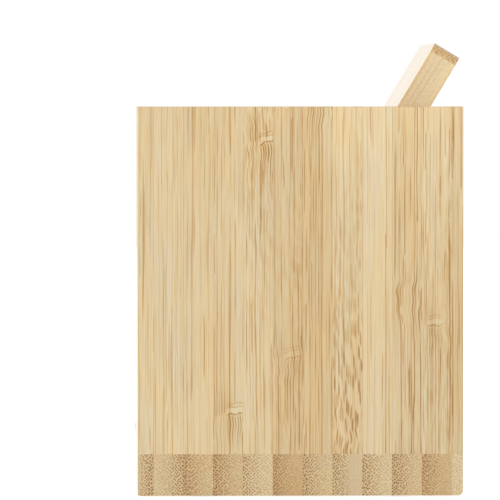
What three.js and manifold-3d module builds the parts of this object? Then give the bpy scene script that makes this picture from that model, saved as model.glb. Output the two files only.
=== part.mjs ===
// A desk caddy in laminated bamboo: an open pen cup beside a leaning panel that charges a phone.
// The caddy is long in X, its front faces -Y and it stands on Z zero. All lengths are in millimetres.

import * as THREE from "three";
import { mergeVertices } from "three/addons/utils/BufferGeometryUtils.js";
import Module from "manifold-3d";

const wasm = await Module();
wasm.setup();

// Room between pieces
const glueLine = 0.1; // film of glue or tape between two flat faces
const seatClearance = 0.3; // round a piece that is let into its seat
const fastenerClearance = 0.15; // round a screw, dowel or lens in its hole
const cutOverrun = 2; // how far a cutter runs past the face that it opens

// Base plate
const baseDepth = 100;
const baseThickness = 12.8;
const baseFrontEdgeRadius = 0.6;
const baseRearEdgeRadius = 1.5;

// Foot pads
const padRadius = 6;
const padThickness = 1.3;
const padProud = 0.5; // how far a pad stands out of the plate's underside
const padEdgeMargin = 10;
const padRimBevel = 0.2;

// Pen cup
const cupLength = 80;
const cupHeight = 106.7;
const wallThickness = 8;
const rabbetDepth = 4;

// Leaning panel
const panelWidth = 90;
const panelThickness = 9.2;
const panelRise = 148.3; // front face, up the slope from the plate's top
const panelLean = THREE.MathUtils.degToRad(31);
const panelCornerRadius = 4;
const panelFootSetback = 19.7; // from the plate's front edge to the panel's front face
const panelFootDepth = 4; // how deep the foot sits in its slanting dado
const panelEndMargin = 5;

// Engraved ring that marks where the phone's middle goes
const markRadius = 22;
const markWidth = 1.2;
const markDepth = 0.5;

// Strip that stops the phone's foot
const stopDepth = 5;
const stopHeight = 5;
const stopSetback = 2;
const stopGrooveDepth = 2;
const stopTopRadius = 1.5;

// Dowels between the panel's side edge and the cup
const dowelRadius = 2;
const dowelInPanel = 8;
const dowelInWall = 5;
const dowelChamfer = 0.5;
const dowelRiseShares = { lower: 0.25, upper: 0.75 };

// Screws
const wallScrew = {
  headRadius: 3.4,
  headHeight: 2.2,
  shankRadius: 1.6,
  length: 26,
  tipLength: 3,
  slotWidth: 0.9,
  slotDepth: 1.3,
};
const coverScrew = {
  headRadius: 1.8,
  headHeight: 1.1,
  shankRadius: 0.8,
  length: 6,
  tipLength: 1.2,
  slotWidth: 0.5,
  slotDepth: 0.6,
};
const screwSlotLengthShare = 0.55; // of the head's width
const wallScrewPlaceShare = 0.6; // from the middle of a wall to its edge

// Charger
const coilRise = 70; // middle of the coil, up the slope
const coilOuterRadius = 25;
const coilInnerRadius = 9;
const coilThickness = 1.2;
const coilEdgeBevel = 0.2;
const tapeThickness = 0.3;
const shieldSide = 53;
const shieldThickness = 1.2;
const boardWidth = 50;
const boardHeight = 17;
const boardThickness = 1;
const boardTapeWidth = 30;
const boardTapeHeight = 12;
const boardGap = 2.5; // between the shield's lower edge and the board
const boardTongueHeight = 10.4;
const leadRadius = 0.4;
const leadSpacing = 6;
const leadLanding = 2.6; // length of a lead on the board

// Components on the board, with their places as shares of the board
const controllerSize = { width: 6, height: 6, thickness: 0.9 };
const bridgeSize = { width: 3.3, height: 3.3, thickness: 0.9 };
const inductorSize = { width: 6, height: 6, thickness: 2.8 };
const capacitorSize = { width: 3.2, height: 2.5, thickness: 1.8 };
const componentPlaceShares = {
  controller_chip: [0, -0.06],
  bridge_chip_lower: [0.19, -0.25],
  bridge_chip_upper: [0.19, 0.14],
  filter_inductor: [0.38, 0],
  resonant_capacitor_a: [-0.17, -0.22],
  resonant_capacitor_b: [-0.17, 0.14],
  resonant_capacitor_c: [-0.27, -0.22],
  resonant_capacitor_d: [-0.27, 0.14],
};

// Inlet
const portWidth = 8.94;
const portHeight = 3.2;
const portLength = 7.3;
const portShell = 0.32;
const portSetback = 0.3; // behind the panel's side face
const portCornerShare = 0.46;
const tongueThickness = 0.7;
const tongueWidth = 6.7;
const tongueSetback = 1;
const tongueBlockLength = 2.2;

// Light
const lensRadius = 1.5;
const ledWidth = 1.6;
const ledHeight = 0.8;
const ledThickness = 0.6;
const ledPlaceShares = [-0.4, 0.1];

// Pocket in the back of the panel, and its cover
const pocketMargin = 3; // round the shield and the board
const pocketSlideRoom = 4; // to slide the board's tongue into its mortise
const pocketCornerRadius = 3;
const coverLedge = 5;
const coverThickness = 1.6;
const coverScrewInset = 3.8; // from the cover's edges to the middle of a screw

// How finely round shapes are divided
const cornerSteps = 6;
const markSegments = 64;
const coilSegments = 48;
const padSegments = 24;
const dowelSegments = 16;
const screwSegments = 16;
const leadSides = 8;
const leadSteps = 14;

// Places that follow from the sizes
const baseLength = panelEndMargin + panelWidth + glueLine + cupLength;
const baseEnd = baseLength / 2;
const baseFront = -baseDepth / 2;
const baseTop = padProud + baseThickness;
const cupStart = baseEnd - cupLength;
const cupFloor = baseTop + glueLine;
const panelMiddle = cupStart - glueLine - panelWidth / 2;
const panelRearReach = panelRise * Math.sin(panelLean) + panelThickness * Math.cos(panelLean);
const rearOverhang = Math.max(baseFront + panelFootSetback + panelRearReach - baseDepth / 2, 0);

// Depths inside the panel, measured from its front face
const chargerDepth = tapeThickness + boardThickness + portHeight + 3 * glueLine + seatClearance;
const pocketFloor = panelThickness - coverThickness - glueLine - chargerDepth;
const chargerFloor = pocketFloor + tapeThickness + 2 * glueLine;
const boardBack = chargerFloor + boardThickness;
const shieldFront = chargerFloor + coilThickness + glueLine;
const pocketTop = coilRise + shieldSide / 2 + pocketMargin;
const boardRise = coilRise - shieldSide / 2 - boardGap - boardHeight / 2;
const pocketBottom = boardRise - boardHeight / 2 - pocketMargin;
const pocketWidth = Math.max(shieldSide, boardWidth + pocketSlideRoom) + 2 * pocketMargin;

// Group that holds the whole caddy, centred over the space that it takes up
const holder = new THREE.Group();
holder.position.y = -rearOverhang / 2;

// Group that leans with the panel: X across it, Y through it from the front face, Z up its slope
const leaning = new THREE.Group();
leaning.position.set(panelMiddle, baseFront + panelFootSetback, baseTop);
leaning.rotation.x = -panelLean;
holder.add(leaning);

// Finishes, each made anew for the piece that wears it
function finish(color, roughness, metalness) {
  return () => new THREE.MeshStandardMaterial({ color, roughness, metalness });
}
const faceBamboo = finish(0xdbc094, 0.62, 0);
const edgeBamboo = finish(0xcbae85, 0.68, 0);
const dowelWood = finish(0xd8bd8e, 0.7, 0);
const padRubber = finish(0x33322f, 0.85, 0);
const zincSteel = finish(0xb9b6aa, 0.35, 1);
const enamelledCopper = finish(0xb4622d, 0.35, 0.9);
const ferrite = finish(0x3a3b3d, 0.6, 0.2);
const adhesiveTape = finish(0xe9e4d2, 0.6, 0);
const boardGreen = finish(0x1f5a3a, 0.45, 0);
const chipPlastic = finish(0x1b1c1e, 0.5, 0);
const capacitorCeramic = finish(0xb08d62, 0.55, 0);
const nickelShell = finish(0xc5c6c8, 0.28, 1);
const clearPlastic = finish(0xf1f1ec, 0.2, 0);

// A closed mesh as a solid that can be cut.
function solidOf(geometry) {
  const bare = geometry.clone();
  bare.deleteAttribute("normal");
  bare.deleteAttribute("uv");
  const merged = mergeVertices(bare);
  const vertProperties = new Float32Array(merged.attributes.position.array);
  const triVerts = new Uint32Array(merged.index.array);
  return new wasm.Manifold(new wasm.Mesh({ numProp: 3, vertProperties, triVerts }));
}

// A solid's surface as a geometry.
function geometryOf(solid) {
  const mesh = solid.getMesh();
  const geometry = new THREE.BufferGeometry();
  geometry.setAttribute("position", new THREE.BufferAttribute(mesh.vertProperties, 3));
  geometry.setIndex(new THREE.BufferAttribute(mesh.triVerts, 1));
  geometry.computeVertexNormals();
  return geometry;
}

// Puts a named piece into a group.
function addPiece(group, name, geometry, material) {
  const piece = new THREE.Mesh(geometry, material());
  piece.name = name;
  group.add(piece);
  return piece;
}

// A cutter that stands in a group's frame without being one of its pieces.
function cutterIn(group, geometry) {
  return { group, geometry };
}

// Cuts a piece by cutters, whichever groups they stand in.
function carve(piece, cutters) {
  holder.updateMatrixWorld(true);
  const toPiece = piece.matrixWorld.clone().invert();
  let solid = solidOf(piece.geometry);
  for (const { group, geometry } of cutters) {
    const placed = geometry.clone().applyMatrix4(toPiece.clone().multiply(group.matrixWorld));
    solid = solid.subtract(solidOf(placed));
  }
  piece.geometry = geometryOf(solid);
}

// A block from its lowest to its highest corner.
function block([left, front, bottom], [right, back, top]) {
  const geometry = new THREE.BoxGeometry(right - left, back - front, top - bottom);
  return geometry.translate((left + right) / 2, (front + back) / 2, (bottom + top) / 2);
}

// A rectangle round a middle, its lower and upper corners rounded on the left and right alike.
function roundedOutline(width, height, radii) {
  const right = width / 2;
  const top = height / 2;
  const corners = [
    { x: -right, y: -top, inward: [1, 1], start: Math.PI },
    { x: right, y: -top, inward: [-1, 1], start: Math.PI * 1.5 },
    { x: right, y: top, inward: [-1, -1], start: 0 },
    { x: -right, y: top, inward: [1, -1], start: Math.PI / 2 },
  ];
  const points = [];
  corners.forEach(({ x, y, inward, start }, corner) => {
    const radius = radii[corner];
    const steps = radius > 0 ? cornerSteps : 0;
    for (let step = 0; step <= steps; step++) {
      const angle = start + ((Math.PI / 2) * step) / Math.max(steps, 1);
      const acrossX = x + radius * (inward[0] + Math.cos(angle));
      const acrossY = y + radius * (inward[1] + Math.sin(angle));
      points.push(new THREE.Vector2(acrossX, acrossY));
    }
  });
  return new THREE.Shape(points);
}

const xAxis = new THREE.Vector3(1, 0, 0);
const yAxis = new THREE.Vector3(0, 1, 0);
const zAxis = new THREE.Vector3(0, 0, 1);

// Runs an outline drawn in Y and Z along X, from zero to a length.
function runAlongX(outline, length) {
  const geometry = new THREE.ExtrudeGeometry(outline, { depth: length, bevelEnabled: false });
  return geometry.applyMatrix4(new THREE.Matrix4().makeBasis(yAxis, zAxis, xAxis));
}

// Stands an outline drawn in X and Z up, from a front depth to a back depth in Y.
function standUp(outline, front, back) {
  const geometry = new THREE.ExtrudeGeometry(outline, { depth: back - front, bevelEnabled: false });
  geometry.applyMatrix4(new THREE.Matrix4().makeBasis(xAxis, zAxis, yAxis.clone().negate()));
  return geometry.translate(0, back, 0);
}

// A turned shape round Z, from points given as radius and height, lowest first.
function turned(points, segments) {
  const profile = points.map(([radius, height]) => new THREE.Vector2(radius, height));
  return new THREE.LatheGeometry(profile, segments).rotateX(Math.PI / 2);
}

// A countersunk screw with a cross slot, its head's top at zero and its shank below.
function screwGeometry(screw) {
  const { headRadius, headHeight, shankRadius, length, tipLength, slotWidth, slotDepth } = screw;
  const body = turned(
    [
      [0, -length],
      [shankRadius, tipLength - length],
      [shankRadius, -headHeight],
      [headRadius, 0],
      [0, 0],
    ],
    screwSegments,
  );
  const slotReach = headRadius * screwSlotLengthShare;
  const across = block([-slotReach, -slotWidth / 2, -slotDepth], [slotReach, slotWidth / 2, slotDepth]);
  const upright = across.clone().rotateZ(Math.PI / 2);
  return geometryOf(solidOf(body).subtract(solidOf(across)).subtract(solidOf(upright)));
}

// The hole and countersink that a screw sits in.
function screwSeat({ headRadius, headHeight, shankRadius, length }) {
  return turned(
    [
      [0, -length - fastenerClearance],
      [shankRadius + fastenerClearance, -length - fastenerClearance],
      [shankRadius + fastenerClearance, -headHeight],
      [headRadius + fastenerClearance, 0],
      [headRadius + fastenerClearance, cutOverrun],
      [0, cutOverrun],
    ],
    screwSegments,
  );
}

// Base plate: its end outline, with the two lower edges rounded, run along X
const baseEdgeRadii = [baseFrontEdgeRadius, baseRearEdgeRadius, 0, 0];
const baseOutline = roundedOutline(baseDepth, baseThickness, baseEdgeRadii);
const basePlate = addPiece(holder, "base_plate", runAlongX(baseOutline, baseLength), edgeBamboo);
basePlate.position.set(-baseEnd, 0, padProud + baseThickness / 2);

// Foot pads in shallow round recesses
const padReachX = baseEnd - padEdgeMargin - padRadius;
const padReachY = baseDepth / 2 - padEdgeMargin - padRadius;
const padProfile = [
  [0, 0],
  [padRadius - padRimBevel, 0],
  [padRadius, padRimBevel],
  [padRadius, padThickness],
  [0, padThickness],
];
const padRecessProfile = [
  [0, padProud - cutOverrun],
  [padRadius + seatClearance, padProud - cutOverrun],
  [padRadius + seatClearance, padThickness + glueLine],
  [0, padThickness + glueLine],
];
const frontAndBack = { front: -1, back: 1 };
const leftAndRight = { left: -1, right: 1 };
const padRecesses = [];
for (const [depthName, sideY] of Object.entries(frontAndBack)) {
  for (const [endName, sideX] of Object.entries(leftAndRight)) {
    const name = `foot_pad_${depthName}_${endName}`;
    const pad = addPiece(holder, name, turned(padProfile, padSegments), padRubber);
    pad.position.set(sideX * padReachX, sideY * padReachY, 0);
    padRecesses.push(cutterIn(pad, turned(padRecessProfile, padSegments)));
  }
}

// End walls of the cup, across the whole depth of the plate, rabbeted for the front and back walls
const rabbetWidth = wallThickness + glueLine;
const endWallGeometry = block([0, baseFront, 0], [wallThickness, -baseFront, cupHeight - glueLine]);
const outerWall = addPiece(holder, "cup_outer_wall", endWallGeometry, faceBamboo);
outerWall.position.set(baseEnd - wallThickness, 0, cupFloor);
const innerWall = addPiece(holder, "cup_inner_wall", endWallGeometry.clone(), faceBamboo);
innerWall.position.set(cupStart, 0, cupFloor);
const rabbetFoot = -cutOverrun;
const rabbetHead = cupHeight + cutOverrun;
for (const [wall, rabbetStart, rabbetEnd] of [
  [outerWall, -cutOverrun, rabbetDepth],
  [innerWall, wallThickness - rabbetDepth, wallThickness + cutOverrun],
]) {
  const frontRabbet = block(
    [rabbetStart, baseFront - cutOverrun, rabbetFoot],
    [rabbetEnd, baseFront + rabbetWidth, rabbetHead],
  );
  const backRabbet = block(
    [rabbetStart, -baseFront - rabbetWidth, rabbetFoot],
    [rabbetEnd, cutOverrun - baseFront, rabbetHead],
  );
  carve(wall, [cutterIn(wall, frontRabbet), cutterIn(wall, backRabbet)]);
}

// Front and back walls of the cup, with their ends in the rabbets
const sideWallEnd = wallThickness - rabbetDepth + glueLine;
const sideWallLength = cupLength - 2 * sideWallEnd;
const sideWallGeometry = block([0, 0, 0], [sideWallLength, wallThickness, cupHeight - glueLine]);
const frontWall = addPiece(holder, "cup_front_wall", sideWallGeometry, faceBamboo);
frontWall.position.set(cupStart + sideWallEnd, baseFront, cupFloor);
const backWall = addPiece(holder, "cup_back_wall", sideWallGeometry.clone(), faceBamboo);
backWall.position.set(cupStart + sideWallEnd, -baseFront - wallThickness, cupFloor);

// Screws from beneath, through the plate into the middle of each end wall
const endWallMiddles = {
  outer: baseEnd - wallThickness / 2,
  inner: cupStart + wallThickness / 2,
};
const wallScrewSeats = [];
for (const [wallName, wallMiddle] of Object.entries(endWallMiddles)) {
  for (const [depthName, sideY] of Object.entries(frontAndBack)) {
    const name = `wall_screw_${wallName}_${depthName}`;
    const screw = addPiece(holder, name, screwGeometry(wallScrew), zincSteel);
    screw.rotation.x = Math.PI;
    screw.position.set(wallMiddle, (sideY * wallScrewPlaceShare * baseDepth) / 2, padProud);
    wallScrewSeats.push(cutterIn(screw, screwSeat(wallScrew)));
  }
}

// Leaning panel, its foot in a slanting dado in the plate
const panelCornerRadii = [0, 0, panelCornerRadius, panelCornerRadius];
const panelOutline = roundedOutline(panelWidth, panelRise + panelFootDepth, panelCornerRadii);
const panelGeometry = standUp(panelOutline, 0, panelThickness);
panelGeometry.translate(0, 0, (panelRise - panelFootDepth) / 2);
const panel = addPiece(leaning, "phone_panel", panelGeometry, faceBamboo);
const dadoTop = (panelThickness + seatClearance) * Math.tan(panelLean) + cutOverrun;
const footDado = cutterIn(
  leaning,
  block(
    [-panelWidth / 2 - seatClearance, -seatClearance, -panelFootDepth - seatClearance],
    [panelWidth / 2 + seatClearance, panelThickness + seatClearance, dadoTop],
  ),
);

// Strip that stops the phone's foot, in a groove along the plate's front edge
const stopEdgeRadii = [0, 0, stopTopRadius, stopTopRadius];
const stopOutline = roundedOutline(stopDepth, stopHeight + stopGrooveDepth, stopEdgeRadii);
const phoneStop = addPiece(holder, "phone_stop", runAlongX(stopOutline, panelWidth), faceBamboo);
const stopStart = panelMiddle - panelWidth / 2;
const stopMiddle = baseFront + stopSetback + stopDepth / 2;
phoneStop.position.set(stopStart, stopMiddle, baseTop + (stopHeight - stopGrooveDepth) / 2);
const grooveReach = stopDepth / 2 + glueLine;
const grooveFloor = baseTop - stopGrooveDepth - glueLine;
const stopGroove = cutterIn(
  holder,
  block(
    [stopStart - glueLine, stopMiddle - grooveReach, grooveFloor],
    [stopStart + panelWidth + glueLine, stopMiddle + grooveReach, baseTop + cutOverrun],
  ),
);

// Dowels across the joint between the panel's side edge and the cup's inner wall
const dowelLength = dowelInPanel + glueLine + dowelInWall;
const dowelGeometry = turned(
  [
    [0, 0],
    [dowelRadius - dowelChamfer, 0],
    [dowelRadius, dowelChamfer],
    [dowelRadius, dowelLength - dowelChamfer],
    [dowelRadius - dowelChamfer, dowelLength],
    [0, dowelLength],
  ],
  dowelSegments,
);
const dowelHole = turned(
  [
    [0, -fastenerClearance],
    [dowelRadius + fastenerClearance, -fastenerClearance],
    [dowelRadius + fastenerClearance, dowelLength + fastenerClearance],
    [0, dowelLength + fastenerClearance],
  ],
  dowelSegments,
);
const dowelHoles = [];
for (const [name, riseShare] of Object.entries(dowelRiseShares)) {
  const dowel = addPiece(leaning, `panel_dowel_${name}`, dowelGeometry.clone(), dowelWood);
  const dowelRise = (riseShare * cupHeight) / Math.cos(panelLean);
  dowel.position.set(panelWidth / 2 - dowelInPanel, panelThickness / 2, dowelRise);
  dowel.rotation.y = Math.PI / 2;
  dowelHoles.push(cutterIn(dowel, dowelHole));
}

// Charging coil on its tape, with the ferrite shield behind it
const tapeFront = pocketFloor + glueLine;
const coilBack = chargerFloor + coilThickness;
const coilProfile = [
  [coilInnerRadius, 0],
  [coilOuterRadius - coilEdgeBevel, 0],
  [coilOuterRadius, coilEdgeBevel],
  [coilOuterRadius, coilThickness - coilEdgeBevel],
  [coilOuterRadius - coilEdgeBevel, coilThickness],
  [coilInnerRadius, coilThickness],
  [coilInnerRadius, 0],
];
const tapeProfile = [
  [0, 0],
  [coilOuterRadius, 0],
  [coilOuterRadius, tapeThickness],
  [0, tapeThickness],
];
const coil = addPiece(leaning, "charging_coil", turned(coilProfile, coilSegments), enamelledCopper);
coil.position.set(0, coilBack, coilRise);
coil.rotation.x = Math.PI / 2;
const coilTape = addPiece(leaning, "coil_tape", turned(tapeProfile, coilSegments), adhesiveTape);
coilTape.position.set(0, tapeFront + tapeThickness, coilRise);
coilTape.rotation.x = Math.PI / 2;
const shieldGeometry = block(
  [-shieldSide / 2, 0, -shieldSide / 2],
  [shieldSide / 2, shieldThickness, shieldSide / 2],
);
const shield = addPiece(leaning, "ferrite_shield", shieldGeometry, ferrite);
shield.position.set(0, shieldFront, coilRise);

// Circuit board, with a tongue that reaches through the mortise to the panel's side edge
const sideEdge = -panelWidth / 2;
const board = new THREE.Group();
board.position.set(0, boardBack, boardRise);
leaning.add(board);
const boardOutline = new THREE.Shape([
  new THREE.Vector2(-boardWidth / 2, -boardHeight / 2),
  new THREE.Vector2(boardWidth / 2, -boardHeight / 2),
  new THREE.Vector2(boardWidth / 2, boardHeight / 2),
  new THREE.Vector2(-boardWidth / 2, boardHeight / 2),
  new THREE.Vector2(-boardWidth / 2, boardTongueHeight / 2),
  new THREE.Vector2(sideEdge + portSetback, boardTongueHeight / 2),
  new THREE.Vector2(sideEdge + portSetback, -boardTongueHeight / 2),
  new THREE.Vector2(-boardWidth / 2, -boardTongueHeight / 2),
]);
addPiece(board, "circuit_board", standUp(boardOutline, -boardThickness, 0), boardGreen);
const boardTapeBack = -boardThickness - glueLine;
const boardTapeGeometry = block(
  [-boardTapeWidth / 2, boardTapeBack - tapeThickness, -boardTapeHeight / 2],
  [boardTapeWidth / 2, boardTapeBack, boardTapeHeight / 2],
);
addPiece(board, "board_tape", boardTapeGeometry, adhesiveTape);

// Components soldered to the back of the board
const componentKinds = {
  controller_chip: { size: controllerSize, material: chipPlastic },
  bridge_chip: { size: bridgeSize, material: chipPlastic },
  filter_inductor: { size: inductorSize, material: ferrite },
  resonant_capacitor: { size: capacitorSize, material: capacitorCeramic },
};
for (const [name, [acrossShare, upShare]] of Object.entries(componentPlaceShares)) {
  const kind = Object.keys(componentKinds).find((kindName) => name.startsWith(kindName));
  const { size, material } = componentKinds[kind];
  const { width, height, thickness } = size;
  const geometry = block([-width / 2, 0, -height / 2], [width / 2, thickness, height / 2]);
  const component = addPiece(board, name, geometry, material);
  component.position.set(acrossShare * boardWidth, glueLine, upShare * boardHeight);
}

// Inlet: a folded shell open towards the panel's side edge, with its contact tongue inside
const portOutline = (inset) => {
  const height = portHeight - 2 * inset;
  return roundedOutline(portWidth - 2 * inset, height, Array(4).fill(portCornerShare * height));
};
const lyingAlongX = new THREE.Matrix4().makeBasis(zAxis, yAxis, xAxis.clone().negate());
const runIntoPanel = (outline, start, end) => {
  const geometry = new THREE.ExtrudeGeometry(outline, { depth: end - start, bevelEnabled: false });
  return geometry.applyMatrix4(lyingAlongX).translate(end, 0, 0);
};
const port = new THREE.Group();
port.position.set(sideEdge + portSetback, glueLine + portHeight / 2, 0);
board.add(port);
const portTube = addPiece(port, "usb_port_shell", runIntoPanel(portOutline(0), 0, portLength), nickelShell);
carve(portTube, [cutterIn(port, runIntoPanel(portOutline(portShell), -cutOverrun, portLength - portShell))]);
const tongueEnd = portLength - portShell - glueLine;
const tongueBlock = runIntoPanel(portOutline(portShell + glueLine), tongueEnd - tongueBlockLength, tongueEnd);
const tongueBlade = block(
  [tongueSetback, -tongueThickness / 2, -tongueWidth / 2],
  [tongueEnd - tongueBlockLength / 2, tongueThickness / 2, tongueWidth / 2],
);
const tongue = geometryOf(solidOf(tongueBlock).add(solidOf(tongueBlade)));
addPiece(port, "usb_port_tongue", tongue, chipPlastic);

// Leads from the coil's rim, under the shield's edge and onto the board
const leadLevel = chargerFloor + coilThickness / 2;
const leadOnBoard = boardBack + glueLine + leadRadius;
const shieldBottom = coilRise - shieldSide / 2;
const boardTop = boardRise + boardHeight / 2;
const leadOutline = new THREE.Shape(
  Array.from({ length: leadSides }, (_, side) => {
    const angle = (2 * Math.PI * side) / leadSides;
    return new THREE.Vector2(leadRadius * Math.cos(angle), leadRadius * Math.sin(angle));
  }),
);
for (const [name, side] of [["coil_lead_a", -1], ["coil_lead_b", 1]]) {
  const across = (side * leadSpacing) / 2;
  const rim = coilRise - Math.sqrt(coilOuterRadius ** 2 - across ** 2) - leadRadius - seatClearance;
  const route = new THREE.CatmullRomCurve3([
    new THREE.Vector3(across, leadLevel, rim),
    new THREE.Vector3(across, leadLevel, shieldBottom),
    new THREE.Vector3(across, leadOnBoard, boardTop + leadRadius),
    new THREE.Vector3(across, leadOnBoard, boardTop - leadLanding),
  ]);
  const leadGeometry = new THREE.ExtrudeGeometry(leadOutline, { steps: leadSteps, extrudePath: route });
  addPiece(leaning, name, leadGeometry, enamelledCopper);
}

// Status light on the front of the board, and the lens that brings it through the panel's skin
const ledPlace = [ledPlaceShares[0] * boardWidth, ledPlaceShares[1] * boardHeight];
const ledBack = -boardThickness - glueLine;
const ledGeometry = block(
  [-ledWidth / 2, ledBack - ledThickness, -ledHeight / 2],
  [ledWidth / 2, ledBack, ledHeight / 2],
);
const led = addPiece(board, "status_led", ledGeometry, clearPlastic);
led.position.set(ledPlace[0], 0, ledPlace[1]);
const lensBack = boardBack + ledBack - ledThickness - seatClearance;
const lensGeometry = turned(
  [
    [0, 0],
    [lensRadius, 0],
    [lensRadius, lensBack],
    [0, lensBack],
  ],
  dowelSegments,
);
const lens = addPiece(leaning, "led_lens", lensGeometry, clearPlastic);
lens.position.set(ledPlace[0], lensBack, boardRise + ledPlace[1]);
lens.rotation.x = Math.PI / 2;
const lensHole = turned(
  [
    [0, -panelThickness / 2],
    [lensRadius + fastenerClearance, -panelThickness / 2],
    [lensRadius + fastenerClearance, panelThickness / 2],
    [0, panelThickness / 2],
  ],
  dowelSegments,
);

// Rear cover, let in flush over the pocket and held by a screw at each corner
const pocketHeight = pocketTop - pocketBottom;
const pocketMiddle = (pocketTop + pocketBottom) / 2;
const coverWidth = pocketWidth + 2 * (coverLedge - glueLine);
const coverHeight = pocketHeight + 2 * (coverLedge - glueLine);
const coverRadius = pocketCornerRadius + coverLedge / 2;
const coverOutline = roundedOutline(coverWidth, coverHeight, Array(4).fill(coverRadius - glueLine));
const cover = addPiece(leaning, "rear_cover", standUp(coverOutline, -coverThickness, 0), faceBamboo);
cover.position.set(0, panelThickness, pocketMiddle);
const coverScrewReachX = coverWidth / 2 - coverScrewInset;
const coverScrewReachZ = coverHeight / 2 - coverScrewInset;
const lowerAndUpper = { lower: -1, upper: 1 };
const coverScrewSeats = [];
for (const [riseName, sideZ] of Object.entries(lowerAndUpper)) {
  for (const [endName, sideX] of Object.entries(leftAndRight)) {
    const name = `cover_screw_${riseName}_${endName}`;
    const screw = addPiece(leaning, name, screwGeometry(coverScrew), zincSteel);
    const screwRise = pocketMiddle + sideZ * coverScrewReachZ;
    screw.position.set(sideX * coverScrewReachX, panelThickness, screwRise);
    screw.rotation.x = -Math.PI / 2;
    coverScrewSeats.push(cutterIn(screw, screwSeat(coverScrew)));
  }
}

// Cutters in the panel for the charger, its cover, the inlet's mortise and the engraved ring
const pocketOutline = roundedOutline(pocketWidth, pocketHeight, Array(4).fill(pocketCornerRadius));
const pocketCutter = standUp(pocketOutline, pocketFloor, panelThickness + cutOverrun);
pocketCutter.translate(0, 0, pocketMiddle);
const recessWidth = pocketWidth + 2 * coverLedge;
const recessHeight = pocketHeight + 2 * coverLedge;
const recessOutline = roundedOutline(recessWidth, recessHeight, Array(4).fill(coverRadius));
const recessFloor = panelThickness - coverThickness - glueLine;
const recessCutter = standUp(recessOutline, recessFloor, panelThickness + cutOverrun);
recessCutter.translate(0, 0, pocketMiddle);
const mortiseCutter = block(
  [sideEdge - cutOverrun, pocketFloor, boardRise - boardTongueHeight / 2 - seatClearance],
  [cutOverrun - pocketWidth / 2, recessFloor - glueLine, boardRise + boardTongueHeight / 2 + seatClearance],
);
const markProfile = [
  [markRadius - markWidth / 2, -markDepth],
  [markRadius + markWidth / 2, -markDepth],
  [markRadius + markWidth / 2, cutOverrun],
  [markRadius - markWidth / 2, cutOverrun],
  [markRadius - markWidth / 2, -markDepth],
];
const markCutter = turned(markProfile, markSegments).rotateX(Math.PI / 2).translate(0, 0, coilRise);

carve(basePlate, [footDado, stopGroove, ...padRecesses, ...wallScrewSeats]);
carve(outerWall, wallScrewSeats);
carve(innerWall, [...wallScrewSeats, ...dowelHoles]);
carve(cover, coverScrewSeats);
carve(panel, [
  cutterIn(leaning, pocketCutter),
  cutterIn(leaning, recessCutter),
  cutterIn(leaning, mortiseCutter),
  cutterIn(leaning, markCutter),
  cutterIn(lens, lensHole),
  ...dowelHoles,
  ...coverScrewSeats,
]);

export default holder;
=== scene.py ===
"""A bamboo desk caddy: a square pen cup beside a leaning panel that charges a phone, on one laminated plate."""

import math

import bmesh
import bpy
from mathutils import Matrix, Vector


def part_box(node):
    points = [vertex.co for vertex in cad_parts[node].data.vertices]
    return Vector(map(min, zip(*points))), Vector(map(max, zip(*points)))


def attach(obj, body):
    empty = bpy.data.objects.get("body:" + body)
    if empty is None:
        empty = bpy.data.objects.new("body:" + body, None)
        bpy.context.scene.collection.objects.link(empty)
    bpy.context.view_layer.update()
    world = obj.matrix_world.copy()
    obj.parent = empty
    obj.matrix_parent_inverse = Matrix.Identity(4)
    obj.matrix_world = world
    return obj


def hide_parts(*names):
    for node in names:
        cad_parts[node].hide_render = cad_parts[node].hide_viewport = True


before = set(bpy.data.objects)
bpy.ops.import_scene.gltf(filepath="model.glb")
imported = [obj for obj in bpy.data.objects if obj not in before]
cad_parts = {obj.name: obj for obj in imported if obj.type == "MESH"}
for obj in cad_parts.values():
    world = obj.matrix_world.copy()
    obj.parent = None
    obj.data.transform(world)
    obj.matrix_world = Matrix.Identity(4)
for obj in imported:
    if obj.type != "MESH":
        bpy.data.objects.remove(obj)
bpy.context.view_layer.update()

# Camera
# The caddy is photographed straight at its cup end, from far off with a long lens, with the lens at about the
# height of the cup's rim and a little to the front of the middle.
MM = 0.001
scene = bpy.context.scene
wall_low, wall_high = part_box("cup_outer_wall")
camera_distance = 1724 * MM
camera_side = wall_low.y - 9.6 * MM
camera_height = wall_high.z - 0.4 * MM
aim_side = wall_low.y + 34.5 * MM
aim_height = 76.0 * MM


def set_up(name, tool, place, towards):
    """Stands the camera or a lamp at a place, turned towards a point on the caddy."""
    stand = bpy.data.objects.new(name, tool)
    stand.location = place
    stand.rotation_euler = (Vector(towards) - stand.location).to_track_quat("-Z", "Y").to_euler()
    scene.collection.objects.link(stand)
    return stand


long_lens = bpy.data.cameras.new("camera")
long_lens.lens = 405
long_lens.sensor_width = 36
long_lens.clip_start = 0.05
long_lens.clip_end = 20
camera_place = (wall_high.x + camera_distance, camera_side, camera_height)
scene.camera = set_up("camera", long_lens, camera_place, (wall_high.x, aim_side, aim_height))

# Studio
# A white sheet on the table and white walls all round, lit so evenly that the sheet burns out to plain white, with
# one broad soft lamp from the front and above and a weaker one beside the camera. A snooted lamp over the cup's rim
# keeps the edge of the leaning panel as light as the wall in front of it, helped by painted light on that edge.
scene.view_settings.view_transform = "Standard"
scene.view_settings.look = "None"
scene.render.film_transparent = False

room = bpy.data.worlds.new("studio")
room.use_nodes = True
room_light = room.node_tree.nodes["Background"]
room_light.inputs["Color"].default_value = (1, 1, 1, 1)
room_light.inputs["Strength"].default_value = 1.0
scene.world = room

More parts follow.
